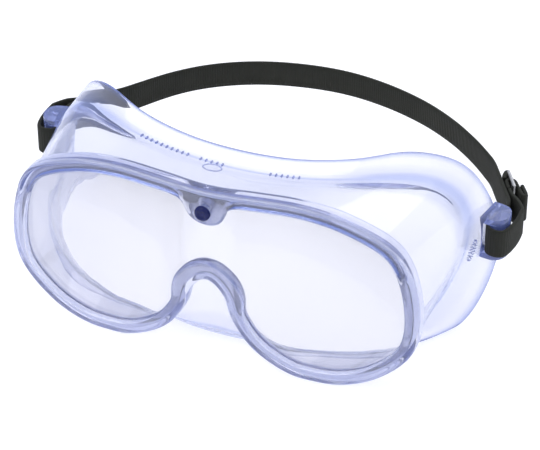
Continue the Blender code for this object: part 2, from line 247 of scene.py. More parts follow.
def thicken(mesh, vec):
    # extrude every face and move the new side
    sheet = bmesh.ops.extrude_face_region(mesh, geom=mesh.faces[:])["geom"]
    verts = [item for item in sheet if isinstance(item, bmesh.types.BMVert)]
    bmesh.ops.translate(mesh, vec=vec, verts=verts)


def faceOut(mesh):
    mesh.normal_update()
    bmesh.ops.recalc_face_normals(mesh, faces=mesh.faces[:])


def carve(piece, other, operation):
    # Boolean applied at once; the other object is used up
    step = piece.modifiers.new("carve", "BOOLEAN")
    step.object = other
    step.operation = operation
    step.solver = "EXACT"
    done = bpy.data.meshes.new_from_object(piece.evaluated_get(bpy.context.evaluated_depsgraph_get()))
    piece.modifiers.clear()
    piece.data = done
    bpy.data.objects.remove(other)


def catmullRom(a, b, c, d, steps):
    # points from b to c, with a before and d after them
    t = (np.arange(steps) / steps)[None, :, None]
    squared = (a * 2 - b * 5 + c * 4 - d) * t**2
    cubed = (b * 3 - a - c * 3 + d) * t**3
    return (b * 2 + (c - a) * t + squared + cubed) / 2


def smoothLoop(points, steps):
    # closed curve, with so many steps between two points
    p = np.array(points, float)
    a, b, c, d = (np.roll(p, shift, axis=0)[:, None, :] for shift in (1, 0, -1, -2))
    return catmullRom(a, b, c, d, steps).reshape(-1, 3)


def distanceAlong(line):
    steps = np.linalg.norm(np.diff(line, axis=0), axis=1)
    return np.concatenate([[0], np.cumsum(steps)])


def smoothLine(points, spacing):
    # open curve, resampled to an even spacing
    p = np.array(points, float)
    p = np.concatenate([2 * p[:1] - p[1:2], p, 2 * p[-1:] - p[-2:-1]])
    a, b, c, d = (p[k:len(p) - 3 + k][:, None, :] for k in range(4))
    curve = catmullRom(a, b, c, d, 24).reshape(-1, p.shape[1])
    curve = np.concatenate([curve, p[-2:-1]])
    run = distanceAlong(curve)
    even = np.linspace(0, run[-1], max(2, round(run[-1] / spacing) + 1))
    return np.stack([np.interp(even, run, curve[:, k]) for k in range(p.shape[1])], axis=1)


def smoothStep(value, low, high):
    t = np.clip((value - low) / (high - low), 0, 1)
    return t * t * (3 - 2 * t)


def unit(vectors):
    return vectors / np.linalg.norm(vectors, axis=-1, keepdims=True)


shell = {
    # half outlines from the top centre round the +X side to the nose, in mm behind the rim's front
    "rim": [
        (0, 0, 69), (17, 0, 70.5), (34, 0, 71.3), (51, 0, 68.3), (67.5, 0, 59.5),
        (74.2, 0, 41), (73.3, 0, 21), (61.5, 0, 7.2), (46.5, 0, 0.5), (31.5, 0, 0.4),
        (17, 0, 7.8), (9, 0, 18.5), (6, 0, 28), (0, 0, 33.2),
    ],
    "bend": [
        (0, 27.5, 62), (18, 28.3, 62.6), (36, 30.3, 64.6), (54, 37.5, 66), (70.5, 48, 61.5),
        (80, 46.5, 46), (74, 37.5, 27), (65.5, 30, 11), (50, 25, 3.6), (36, 20, 3),
        (25, 15.8, 3), (16, 12.8, 3.4), (8, 11.6, 3.7), (0, 11.3, 3.8),
    ],
    "edge": [
        (0, 32.5, 66), (19.5, 33.8, 66.6), (39, 37.5, 69.3), (56, 46.5, 71), (71.5, 60.5, 61),
        (82, 65.5, 40), (82.5, 65, 19), (75.5, 52, 0), (61, 32, 0), (40, 23.5, 0),
        (26.5, 19, 0), (16.5, 15.8, 0), (8, 14.6, 0), (0, 14.3, 0),
    ],
    "steps": 12,            # ring points between two outline points
    "rimReach": 4,          # how many ring points each outline is softened over
    "bendReach": 14,
    "edgeReach": 6,
    "tableEase": 0.3,
    "lensBend": 0.00125,    # 1/mm
    "lip": 5.2,
    "grooveDepth": 2.4,
    "grooveGap": 0.3,
    "wall": 1.8,
    "flange": 1.4,
    "channelEnd": 52.0,     # height where the front channel stops at each side
    "channelBoss": 9.1,     # and how far from the middle it stops beside the boss
    "bossHalf": 13.0,
    "noseLip": 0.38,
    "cornerFillet": 0.9,
    "edgeRound": 0.45,
}
# rim section as inward and backward mm: where the channel is, and where the front is a plain bead
rimSection = [
    ((5.2, 2.15), (5.2, 2.15)), ((5.3, 1.6), (5.25, 1.6)), ((5.15, 1.05), (5.1, 1.05)),
    ((4.85, 0.7), (4.8, 0.62)), ((4.5, 0.6), (4.45, 0.38)), ((4.2, 0.85), (4.1, 0.22)),
    ((4.05, 1.5), (3.75, 0.12)), ((3.8, 1.75), (3.35, 0.04)), ((2.9, 1.8), (2.9, 0.0)),
    ((2.0, 1.75), (2.4, 0.0)), ((1.75, 1.5), (2.0, 0.03)), ((1.6, 0.6), (1.6, 0.12)),
    ((1.4, 0.2), (1.25, 0.25)), ((1.0, 0.05), (0.9, 0.45)), ((0.55, 0.2), (0.5, 0.8)),
    ((0.2, 0.65), (0.2, 1.25)), ((0.0, 1.4), (0.0, 1.9)), ((0.0, 3.4), (0.0, 3.6)),
    ((0.0, 5.2), (0.0, 5.2)), ((0.15, 5.8), (0.15, 5.8)), ((0.55, 6.25), (0.55, 6.25)),
    ((1.1, 6.45), (1.1, 6.45)), ((1.6, 6.65), (1.6, 6.65)),
]
bossFront = [2.15, 1.5, 0.8, 0.2, -0.15, -0.35, -0.4, -0.4, -0.4, -0.4, -0.35, -0.15, 0.0]


def wholeOutline(half, reach):
    # both halves in one curve, softened over a short reach, and eased up where it would pass the table
    left = [(-x, y, z) for x, y, z in half[-2:0:-1]]
    curve = smoothLoop(list(half) + left, shell["steps"])
    weights = np.hanning(2 * reach + 3)[1:-1]
    weights = weights / weights.sum()
    padded = np.concatenate([curve[-reach:], curve, curve[:reach]])
    curve = np.stack([np.convolve(padded[:, k], weights, "valid") for k in range(3)], axis=1)
    curve[:, 2] = (curve[:, 2] + np.sqrt(curve[:, 2] ** 2 + shell["tableEase"])) / 2
    return curve


rimLine = wholeOutline(shell["rim"], shell["rimReach"])
rimAlong = unit(np.roll(rimLine, -1, axis=0) - np.roll(rimLine, 1, axis=0))


def rimRing(inward, back):
    # ring on the rim, so far inside its outline and so far behind its front
    x = rimLine[:, 0] + rimAlong[:, 2] * inward
    z = np.maximum(rimLine[:, 2] - rimAlong[:, 0] * inward, 0)
    return np.stack([x, shell["lensBend"] * x * x / 2 + back, z], axis=1)


def bossLine():
    # the lip's line where it drops round the stud, from the middle outwards
    top = studHeight
    half = [
        (0, top - 6.9), (3.3, top - 6.1), (5.7, top - 3.9), (6.8, top - 1.2), (7.4, top + 0.9),
        (9.3, top + 2.6), (shell["bossHalf"], top + 3.1),
    ]
    mirrored = [(-x, z) for x, z in half[1:3][::-1]]
    line = smoothLine(mirrored + half, 0.2)
    return line[line[:, 0] >= 0]


def dropBoss(ring, share, front):
    # pull the middle of a ring down round the stud
    line = bossLine()
    run = distanceAlong(line)
    moved = ring.copy()
    top = (np.abs(ring[:, 0]) < shell["bossHalf"]) & (ring[:, 2] > 50)
    reach = np.abs(ring[top, 0]) / shell["bossHalf"]
    x = np.interp(reach * run[-1], run, line[:, 0]) * np.sign(ring[top, 0])
    z = np.interp(reach * run[-1], run, line[:, 1])
    near = 1 - smoothStep(np.abs(ring[top, 0]), 5.5, 10.5)
    edge = 1 - smoothStep(np.abs(ring[top, 0]), 9.0, shell["bossHalf"])
    moved[top, 0] += (x - ring[top, 0]) * share * edge
    moved[top, 2] += (z - ring[top, 2]) * share * edge
    moved[top, 1] += (front - ring[top, 1]) * near * min(1.0, share * 2.2)
    return moved


def noseLip():
    # the lip reaches further over the lens at the top of the nose notch
    x, z = rimLine[:, 0], rimLine[:, 2]
    return shell["noseLip"] * smoothStep(z, 17, 31) * (np.abs(x) < 12) * (z < 45)


def channelShare():
    # 1 where the rim has its front channel: on the upper half, except beside the boss
    high = smoothStep(rimLine[:, 2], shell["channelEnd"] - 1.2, shell["channelEnd"] + 1.2)
    aside = smoothStep(np.abs(rimLine[:, 0]), shell["channelBoss"] - 0.9, shell["channelBoss"] + 0.9)
    return high * aside


def rimRings():
    channel = channelShare()
    rings = []
    for k, (upper, lower) in enumerate(rimSection):
        inward = lower[0] + (upper[0] - lower[0]) * channel
        wider = 1 + noseLip() * (1 - smoothStep(k, 7, 16))
        back = lower[1] + (upper[1] - lower[1]) * channel
        ring = rimRing(inward * wider, back)
        if k < len(bossFront):
            ring = dropBoss(ring, (1 - k / len(bossFront)) ** 0.8, bossFront[k])
        rings.append(ring)
    return rings


def offsetRings(rings, thick):
    # the same rings moved to the inner side of the shell
    grid = np.array(rings)
    around = np.roll(grid, -1, axis=1) - np.roll(grid, 1, axis=1)
    onward = np.gradient(grid, axis=0)
    outward = unit(np.cross(around, onward))
    return list(grid - outward * thick)


def shellRings():
    # side wall, bend and flange: the outer side to the cut edge, then the inner side back
    bend = wholeOutline(shell["bend"], shell["bendReach"])
    edge = wholeOutline(shell["edge"], shell["edgeReach"])
    start = rimRing(1.9, 7.0)
    wall = bend - start
    flange = edge - bend
    outer = [start + wall * share for share in (0.0, 0.06, 0.15, 0.27, 0.4, 0.53, 0.66, 0.76)]
    before = start + wall * 0.84
    after = bend + flange * 0.22
    for t in (0, 0.2, 0.4, 0.6, 0.8, 1):
        outer.append(before * (1 - t) ** 2 + bend * 2 * t * (1 - t) + after * t**2)
    outer += [bend + flange * share for share in (0.4, 0.6, 0.8, 0.93)]
    wallIn = offsetRings(outer + [edge], shell["wall"])
    flangeIn = offsetRings(outer + [edge], shell["flange"])
    inner = wallIn[:12] + [(a + b) / 2 for a, b in zip(wallIn[12:14], flangeIn[12:14])]
    inner += flangeIn[14:18]
    # the upper corners are thicker on the inside of the bend
    corner = smoothStep(np.abs(bend[:, 0]), 26, 52) * smoothStep(bend[:, 2], 40, 58)
    for k in range(18):
        fillet = math.exp(-(((k - 11) / 3.0) ** 2)) * shell["cornerFillet"]
        inner[k] = inner[k] + (inner[k] - outer[k]) * (fillet * corner)[:, None]
    tip = edge * 0.93 + flangeIn[-1] * 0.07
    middle = (edge + flangeIn[-1]) / 2 + unit(flange) * shell["edgeRound"]
    tipIn = edge * 0.07 + flangeIn[-1] * 0.93
    loops = outer + [tip, middle, tipIn] + inner[::-1]
    for ring in loops:
        ring[:, 2] = np.maximum(ring[:, 2], 0)
    return loops


def grooveRings():
    # behind the lens: the rear lip, then the groove that the lens lies in
    back = lensFront + lens["thick"] + shell["grooveGap"]
    front = lensFront - shell["grooveGap"]
    reach = shell["lip"] * (1 + noseLip())
    rings = [
        rimRing(reach - 0.6, back + 1.7), rimRing(reach - 0.1, back + 1.4),
        rimRing(reach, back + 0.9), rimRing(reach, back),
    ]
    shares = [0.9, 0.9, 1.0, 1.0]
    rings = [dropBoss(ring, shares[k], back + 1.9 - 0.63 * k) for k, ring in enumerate(rings)]
    return rings + [rimRing(shell["grooveDepth"], back), rimRing(shell["grooveDepth"], front)]


# painted shade: how much deep blue is painted on the rings, by their number along the rim and along the
# shell
shadeByRing = {
    "channel": {4: 0.1, 5: 0.9, 6: 1.0, 7: 0.3, 9: 0.1, 10: 0.6, 11: 1.0, 12: 0.4},
    "lip": {1: 0.25, 2: 0.35, 3: 0.2},
    "rimBack": {18: 0.2, 19: 0.45, 20: 0.5, 21: 0.4, 22: 0.25, 23: 0.1},
    "cutEdge": {17: 0.25, 18: 0.6, 19: 0.75, 20: 0.6, 21: 0.25},
    "bend": 0.1,
    "corner": 0.65,
    "crease": 0.6,
    "groove": 0.3,
}


def shellShades(count):
    # painted shade: deep blue painted into creases, channel walls, thick corners, cut edges and the groove,
    # where refraction shows dark lines
    corner = smoothStep(np.abs(rimLine[:, 0]), 26, 52) * smoothStep(rimLine[:, 2], 30, 50)
    plain = np.ones(len(rimLine))
    rows = [plain * 0] * count
    for k, share in shadeByRing["channel"].items():
        rows[k] = channelShare() * share
    for k, share in {**shadeByRing["lip"], **shadeByRing["rimBack"]}.items():
        rows[k] = plain * share
    first = len(rimSection)
    for k in range(7, 15):
        near = math.exp(-(((k - 10.5) / 2.2) ** 2))
        rows[first + k] = shadeByRing["bend"] + corner * shadeByRing["corner"] * near
    rows[first + 10] = np.maximum(rows[first + 10], shadeByRing["crease"])
    for k, share in shadeByRing["cutEdge"].items():
        rows[first + k] = plain * share
    for k in range(count - 6, count):
        rows[k] = plain * shadeByRing["groove"]
    return np.array(rows)


def makeShell(material):
    print("shell")
    rings = rimRings() + shellRings() + grooveRings()
    for ring in rings:
        ring[:, 1] += rimFront
    return makePiece("clearFrame", skin(rings, joinRows=True), material, 50), rings


def spreadShade(piece, rings):
    # give every vertex the painted shade of the nearest ring point, and a lug's own painted shade where it
    # stands off the shell
    places = np.concatenate(rings) * mm
    tree = KDTree(len(places))
    for k, place in enumerate(places):
        tree.insert(place, k)
    tree.balance()
    flat = shellShades(len(rings)).reshape(-1)
    values = []
    for vert in piece.data.vertices:
        _, k, gap = tree.find(vert.co)
        values.append(flat[k] if gap < lug["standOff"] * mm else lug["paintedShade"])
    layer = piece.data.attributes.new("paintedShade", "FLOAT", "POINT")
    layer.data.foreach_set("value", values)


lug = {
    "seat": (81.0, 0.0),     # on the flange at the hinge's depth
    "along": (0.175, 0.985),
    "half": 5.5,
    "arm": 2.2,
    "root": -0.9,           # how deep the lug starts inside the flange
    "foot": 1.5,
    "window": 12.0,
    "windowFloor": 0.35,
    "barNear": 2.6,
    "barFar": 7.5,
    "barFront": -4.4,
    "barBack": 3.0,
    "round": 0.45,
    # painted shade over the whole lug, standing in for the deep blue that its thick plastic shows
    "paintedShade": 0.6,
    "standOff": 1.2,        # a point this far off the shell belongs to a lug
}
lugAlong = unit(np.array(lug["along"]))
lugOut = np.array([lugAlong[1], -lugAlong[0]])


def lugPlan(side, along, out):
    # plan position in the lug's own directions
    point = np.array([lug["seat"][0], hinge[1]]) + lugAlong * along + lugOut * out
    return np.array([point[0] * side, point[1]])


def lugBlock(side, low, high, halfHeight):
    mesh = bmesh.new()
    bmesh.ops.create_cube(mesh, size=1.0)
    for vert in mesh.verts:
        along = low[0] if vert.co.x < 0 else high[0]
        out = low[1] if vert.co.y < 0 else high[1]
        up = halfHeight if vert.co.z > 0 else -halfHeight
        x, y = lugPlan(side, along, out)
        vert.co = Vector((x, y, hinge[2] + up)) * mm
    faceOut(mesh)
    return makePiece("lugCut", mesh, None)


def makeLug(side, material):
    # arms with a half-round outline, then the windows that leave the bar
    outline = [(-lug["half"], lug["root"])]
    for turn in np.linspace(0, math.pi, 17):
        rise = (lug["barFar"] - lug["foot"]) * math.sin(turn) ** 0.7
        outline.append((-lug["half"] * math.cos(turn), lug["foot"] + rise))
    outline.append((lug["half"], lug["root"]))
    half = lug["window"] / 2 + lug["arm"]
    mesh = bmesh.new()
    ring = bmesh.ops.create_circle(mesh, segments=len(outline), radius=1, cap_ends=True)["verts"]
    for vert, (along, out) in zip(ring, outline):
        x, y = lugPlan(side, along, out)
        vert.co = Vector((x, y, hinge[2] - half)) * mm
    thicken(mesh, (0, 0, half * 2 * mm))
    faceOut(mesh)
    piece = makePiece("lugSolid", mesh, material)
    inside = lug["window"] / 2
    low = lug["windowFloor"]
    far = 20
    carve(piece, lugBlock(side, (-far, low), (far, lug["barNear"]), inside), "DIFFERENCE")
    carve(piece, lugBlock(side, (-far, low), (lug["barFront"], far), inside), "DIFFERENCE")
    carve(piece, lugBlock(side, (lug["barBack"], low), (far, far), inside), "DIFFERENCE")
    mesh = bmesh.new()
    mesh.from_mesh(piece.data)
    bmesh.ops.remove_doubles(mesh, verts=mesh.verts[:], dist=2e-6)
    bmesh.ops.dissolve_limit(mesh, angle_limit=0.02, verts=mesh.verts[:], edges=mesh.edges[:])
    edges = sharpEdges(mesh, 0.9)
    roundEdges(mesh, edges, lug["round"] * mm, 3, clamp=True)
    mesh.to_mesh(piece.data)
    mesh.free()
    return piece


def makeFrame(material):
    piece, rings = makeShell(material)
    print("lugs")
    for side in (1, -1):
        carve(piece, makeLug(side, material), "UNION")
    carve(piece, studHole(), "DIFFERENCE")
    piece.data.shade_smooth()
    piece.data.set_sharp_from_angle(angle=math.radians(50))
    spreadShade(piece, rings)
    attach(piece, "goggle")
    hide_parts("goggle_frame")
    makeMarks(rings, material)


marks = {
    # plain raised bars and rings where such goggles carry moulded marks
    "bars": [(-24.0, 10), (-8.5, 5), (8.5, 6)],
    "pitch": 1.75,
    "barSize": (0.55, 1.5, 1.0),
    "barRow": 33,
    "topRing": (30, -4.5, 3.2, 3.0),
    "sideRing": (36, 65.5, 2.0, 3.9),
    "pips": [(1.0, 22), (0.66, 14), (0.3, 6)],
    "pipSize": (0.34, 0.55, 0.7),
    "round": 0.12,
    "thread": 0.3,          # radius of the ring's round section
    # painted shade laid over the moulded marks
    "paintedShade": 0.35,
}


def surfaceFrame(rings, row, place):
    # point of the shell's outer side with its directions around, across and outward, in mm
    low = math.floor(place)
    share = place - low

    def at(loop, step=0):
        return loop[(low + step) % len(loop)] * (1 - share) + loop[(low + step + 1) % len(loop)] * share

    around = unit(at(rings[row], 1) - at(rings[row], -1))
    across = unit(at(rings[row + 1]) - at(rings[row - 1]))
    outward = unit(np.cross(around, across))
    across = np.cross(outward, around)
    return at(rings[row]), around, across, outward


def makeMarks(rings, material):
    print("marks")
    mesh = bmesh.new()
    row = marks["barRow"]
    ring = rings[row]
    run = np.linalg.norm(np.roll(ring, -1, axis=0) - ring, axis=1).mean()
    for start, count in marks["bars"]:
        for k in range(count):
            place = start + k * marks["pitch"] / run
            point, around, across, outward = surfaceFrame(rings, row, place)
            basis = Matrix((around, across, outward)).transposed().to_4x4()
            size = Matrix.Diagonal((*marks["barSize"], 1))
            where = Matrix.Translation(point) @ basis @ size
            bmesh.ops.create_cube(mesh, size=1.0, matrix=where)
    row, place, wide, tall = marks["sideRing"]
    point, around, across, outward = surfaceFrame(rings, row, place)
    basis = Matrix((around, across, outward)).transposed().to_4x4()
    for reach, count in marks["pips"]:
        for turn in np.linspace(0, math.tau, count, endpoint=False):
            away = around * tall * math.cos(turn) + across * wide * math.sin(turn)
            size = Matrix.Diagonal((*marks["pipSize"], 1))
            where = Matrix.Translation(point + away * reach) @ basis @ size
            bmesh.ops.create_cube(mesh, size=1.0, matrix=where)
    roundEdges(mesh, mesh.edges[:], marks["round"], 2)
    bmesh.ops.scale(mesh, vec=(mm, mm, mm), verts=mesh.verts[:])
    finishMark(makePiece("mouldedBars", mesh, material, 60))
    row, place, long, wide = marks["topRing"]
    point, around, across, outward = surfaceFrame(rings, row, place)
    loops = []
    for turn in np.linspace(0, math.tau, 48, endpoint=False):
        middle = point + around * long * math.cos(turn) + across * wide * math.sin(turn)
        away = around * math.cos(turn) + across * math.sin(turn)
        loop = []
        for roll in np.linspace(0, math.tau, 10, endpoint=False):
            aside = away * math.cos(roll) + outward * math.sin(roll)
            loop.append(middle + aside * marks["thread"])
        loops.append(loop)
    finishMark(makePiece("topMark", skin(loops, joinRows=True), material, 60))


def finishMark(piece):
    # painted shade, the same on every vertex of the mark
    layer = piece.data.attributes.new("paintedShade", "FLOAT", "POINT")
    layer.data.foreach_set("value", [marks["paintedShade"]] * len(piece.data.vertices))
    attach(piece, "goggle")


stud = {"hole": 1.8, "head": 2.8, "stem": 1.5, "seat": -0.7, "end": 9.0, "turns": 64}


def studHole():
    mesh = bmesh.new()
    radius = stud["hole"] * mm
    lying = Matrix.Rotation(math.pi / 2, 4, "X")
    where = Matrix.Translation((0, rimFront * mm, studHeight * mm)) @ lying
    bmesh.ops.create_cone(
        mesh, cap_ends=True, segments=48, radius1=radius, radius2=radius, depth=22 * mm, matrix=where)
    return makePiece("studHole", mesh, None)


def turned(name, profile, material):
    # profile of radius and depth, spun about the stud's axis
    mesh = bmesh.new()
    verts = [mesh.verts.new((radius * mm, (rimFront + depth) * mm, 0)) for radius, depth in profile]
    edges = [mesh.edges.new(pair) for pair in zip(verts, verts[1:])]
    if profile[0][0] > 0:
        edges.append(mesh.edges.new((verts[-1], verts[0])))
    bmesh.ops.spin(
        mesh, geom=verts + edges, cent=(0, 0, 0), axis=(0, 1, 0), angle=math.tau, steps=stud["turns"],
        use_merge=True)
    bmesh.ops.remove_doubles(mesh, verts=mesh.verts[:], dist=1e-6)
    bmesh.ops.translate(mesh, vec=(0, 0, studHeight * mm), verts=mesh.verts[:])
    faceOut(mesh)
    return makePiece(name, mesh, material, 35)


def makeStud(material):
    print("stud")
    head, stem, seat = stud["head"], stud["stem"], stud["seat"]
    profile = [
        (0, seat - 1.25), (head * 0.3, seat - 1.25), (head * 0.42, seat - 1.3),
        (head * 0.5, seat - 1.5), (head * 0.58, seat - 1.62), (head * 0.7, seat - 1.58),
        (head * 0.84, seat - 1.38), (head * 0.94, seat - 1.0), (head, seat - 0.5),
        (head * 0.99, seat - 0.1), (head * 0.94, seat), (stem, seat), (stem, 6.0),
        (stem + 0.22, 6.9), (stem + 0.22, 7.3), (stem - 0.1, 8.2), (stem - 0.45, 8.9),
        (0, stud["end"]),
    ]
    piece = turned("lensStud", profile, material)
    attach(piece, "stud")
    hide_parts("lens_stud")


def makeCollar(material):
    print("collar")
    low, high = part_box("stud_collar")
    front = low.y / mm - rimFront
    back = high.y / mm - rimFront
    outer = (high.x - low.x) / 2 / mm
    inner = stud["hole"] + 0.05
    profile = [
        (inner, front + 0.1), (inner + 0.15, front), (outer - 0.2, front), (outer, front + 0.2),
        (outer, back - 0.5), (outer - 0.15, back - 0.2), (outer - 0.45, back),
        (inner + 0.15, back), (inner, back - 0.1),
    ]
    piece = turned("studCollar", profile, material)
    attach(piece, "goggle")
    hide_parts("stud_collar")


lens = {"thick": 1.4, "inset": 2.75, "round": 0.25, "halfWidth": 72, "strip": 3}


def makeLens(material):
    # plate in the groove, bent about an upright axis, with its rim rounded over
    print("lens")
    ring = rimRing(lens["inset"], 0)
    mesh = bmesh.new()
    verts = bmesh.ops.create_circle(mesh, segments=len(ring), radius=1, cap_ends=True)["verts"]
    for vert, point in zip(verts, ring):
        vert.co = Vector((point[0], 0, point[2])) * mm
    for x in np.arange(-lens["halfWidth"], lens["halfWidth"] + 1, lens["strip"]):
        everything = mesh.verts[:] + mesh.edges[:] + mesh.faces[:]
        bmesh.ops.bisect_plane(
            mesh, geom=everything, plane_co=(x * mm, 0, 0), plane_no=(1, 0, 0), dist=1e-6)
    thicken(mesh, (0, lens["thick"] * mm, 0))
    roundEdges(mesh, sharpEdges(mesh, 1.2), lens["round"] * mm, 2)
    for vert in mesh.verts:
        x = vert.co.x / mm
        vert.co.y += (rimFront + lensFront + shell["lensBend"] * x * x / 2) * mm
    faceOut(mesh)
    piece = makePiece("lensShield", mesh, material, 30)
    carve(piece, studHole(), "DIFFERENCE")
    piece.data.shade_smooth()
    piece.data.set_sharp_from_angle(angle=math.radians(30))
    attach(piece, "goggle")
    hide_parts("lens")


elastic = {
    "width": 11.0,
    "thick": 1.3,
    "rib": 0.95,            # distance between two ribs, mm
    "ribHeight": 0.08,
    "stepsPerRib": 4,
    "legThick": 1.2,
    "corner": 0.42,         # how far the rounded selvedges reach in
    "narrowing": 0.8,       # how much narrower the stretched back of the strap is, mm
    "narrowFrom": 85,
    "narrowTo": 112,
}


def elasticStrap(name, path, material, thick):
    # woven elastic on edge along a plan path, with soft edges and a rib every so far
    line = smoothLine(path, elastic["rib"] / elastic["stepsPerRib"])
    along = unit(np.gradient(line, axis=0))
    out = np.stack([along[:, 1], -along[:, 0]], axis=1)
    pulled = smoothStep(line[:, 1], rimFront + elastic["narrowFrom"], rimFront + elastic["narrowTo"])
    high = (elastic["width"] - elastic["narrowing"] * pulled) / 2
    rib = np.cos(np.arange(len(line)) * math.tau / elastic["stepsPerRib"]) * elastic["ribHeight"]
    corner = elastic["corner"]
    flat = thick / 2
    section = []
    for turn in np.linspace(0, math.pi, 7):
        section.append((flat * math.cos(turn), 1.0, corner * math.sin(turn)))
    for share in np.linspace(1, -1, 7)[1:-1]:
        section.append((-flat, share, 0.0))
    for turn in np.linspace(math.pi, math.tau, 7):
        section.append((flat * math.cos(turn), -1.0, corner * math.sin(turn)))
    for share in np.linspace(-1, 1, 7)[1:-1]:
        section.append((flat, share, 0.0))
    rows = []
    for k, point in enumerate(line):
        row = []
        for across, share, tip in section:
            side = 1 if across > 0 else -1
            depth = across + (rib[k] * side if abs(across) > flat * 0.9 else 0)
            up = share * (high[k] - corner) + tip
            place = point + out[k] * depth
            row.append((place[0], place[1], hinge[2] + up))
        rows.append(row)
    return makePiece(name, skin(rows), material, 60)


band = {
    # behind the head, in plan
    "middle": [
        (60.5, 104), (49.5, 113), (36, 121), (20, 127), (3, 130), (-14, 129), (-31, 124.5),
        (-46, 116.5), (-58, 105.5),
    ],
    # round a lug's bar, in the lug's own directions, from the outside inwards
    "loop": [
        (9.5, 7.5), (5.5, 8.35), (1.5, 8.75), (-2.4, 8.7), (-4.9, 8.0), (-6.1, 6.4), (-6.3, 4.6),
        (-5.9, 3.0), (-4.9, 1.9), (-3, 1.5), (0.5, 1.5), (4, 1.5), (8, 1.55), (10.3, 1.6),
    ],
    # the straight runs behind the right and the left lug: along them, and out from them
    "runStart": (84.6, 70.0),
    "run": [(2, 0), (8, 0), (14, 0), (20, 0), (25, -0.1), (30, -0.9)],
    "sewnStart": (-84.6, 70.0),
    "sewnWay": (0.62, 0.785),
    "sewnRun": [(24, 0), (20, 0), (11, 0), (2, 0)],
    "lugEnd": (11, 6.9),
    "sewnLeg": [(0.5, 3.2), (4, 2.1), (8, 1.65), (13, 1.65), (18, 1.65)],
    "returnLeg": [(0.5, 3.1), (4, 2.1), (7.9, 1.65)],
    "wrap": [
        (8.3, 1.65), (10.5, 1.65), (12.4, 1.7), (13.5, 2.3), (13.7, 3.2), (13.3, 4.2), (12.1, 4.75),
        (10.1, 4.9), (7.2, 5.1), (4.2, 5.35), (3.2, 5.75), (3.3, 6.5), (4.4, 6.75), (7, 6.7),
        (9.4, 6.55),
    ],
    "tail": [(14.7, 1.6), (16.5, 1.75), (18, 2.5), (19.8, 3.5), (21.2, 4.3)],
    "tipRadius": 3.0,
    # where the turns round the lugs end and the swinging strap begins, behind the hinge
    "turnStart": 6.0,
    "turnEnd": 10.3,
    "legStart": 0.5,
    "legEnd": 7.5,
}
planShift = np.array([0, rimFront])


def onRun(along, out):
    way = unit(slideWay)
    return np.array(band["runStart"]) + planShift + way * along + np.array([way[1], -way[0]]) * out


def onSewn(along, out):
    way = unit(np.array(band["sewnWay"]))
    return np.array(band["sewnStart"]) + planShift + way * along + np.array([-way[1], way[0]]) * out


def makeStraps(material):
    print("strap")
    right = [lugPlan(1, *point) for point in band["loop"]]
    left = [lugPlan(-1, *point) for point in band["loop"]][::-1]
    middle = [np.array(point) + planShift for point in band["middle"]]
    start = [onRun(*point) for point in band["run"]]
    end = [onSewn(*point) for point in band["sewnRun"]]
    sewn = [lugPlan(-1, *band["lugEnd"])] + [onSewn(*point) for point in band["sewnLeg"]]
    path = right + start + middle + end + left + sewn
    whole = elasticStrap("elasticBand", path, material, elastic["thick"])
    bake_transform(whole)
    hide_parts("head_band", "strap_loop_right", "strap_loop_left", "strap_sewn_end")

    outer = [lugPlan(1, *band["loop"][0]), lugPlan(1, *band["lugEnd"])]
    outer += [onRun(*point) for point in band["returnLeg"]]
    leg = elasticStrap("returnLeg", outer, material, elastic["legThick"])
    legStart = in3d(onRun(band["legStart"], 0))
    legEnd = in3d(onRun(band["legEnd"], 0))
    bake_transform(leg)
    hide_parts("strap_return")

    wrap = [onRun(*point) for point in band["wrap"]]
    folded = elasticStrap("wrappedEnd", wrap, material, elastic["legThick"])
    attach(folded, "adjuster")
    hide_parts("strap_wrap", "strap_hem")

    tail = [onRun(*point) for point in band["tail"]]
    tip = elasticStrap("strapTail", tail, material, elastic["thick"])
    roundTip(tip)
    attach(tip, "adjuster")
    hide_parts("strap_tail")


stitches = {
    "sewnThreads": [(14.2, 2.35), (16.6, 2.35)],
    "hemThreads": [(4.6, 7.4), (6.6, 7.35), (8.6, 7.25)],
    "count": 6,
    "pitch": 1.6,
    "radii": (0.16, 0.16, 0.6),
}


def makeStitches(material):
    # short raised threads in rows across the sewn end and across the hem
    print("stitches")
    size = Matrix.Diagonal((*[radius * mm for radius in stitches["radii"]], 1))
    middle = (stitches["count"] - 1) / 2
    for name, body, place in (("sewnThreads", "strap", onSewn), ("hemThreads", "adjuster", onRun)):
        mesh = bmesh.new()
        for along, out in stitches[name]:
            for k in range(stitches["count"]):
                height = hinge[2] + (k - middle) * stitches["pitch"]
                where = Matrix.Translation(in3d(place(along, out), height)) @ size
                bmesh.ops.create_uvsphere(mesh, u_segments=8, v_segments=6, radius=1.0, matrix=where)
        piece = makePiece(name, mesh, material, 60)
        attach(piece, body)


def in3d(plan, height=None):
    return Vector((plan[0], plan[1], hinge[2] if height is None else height)) * mm


def roundTip(piece):
    # pull the corners of the free end in to a round
    end = in3d(onRun(*band["tail"][-1]))
    way = Vector((*unit(slideWay), 0))
    radius = band["tipRadius"] * mm
    half = elastic["width"] / 2 * mm
    for vert in piece.data.vertices:
        left = (end - vert.co).dot(way)
        if left < radius:
            inset = radius - math.sqrt(max(radius**2 - (radius - max(left, 0)) ** 2, 0))
            middle = hinge[2] * mm
            vert.co.z = middle + (vert.co.z - middle) * (half - inset) / half


slide = {
    "centre": 11.7,
    "out": 2.6,
    "length": 10.0,
    "height": 14.4,
    "thick": 1.1,
    "bar": 1.6,
    "rail": 1.5,
    "round": 0.4,
}


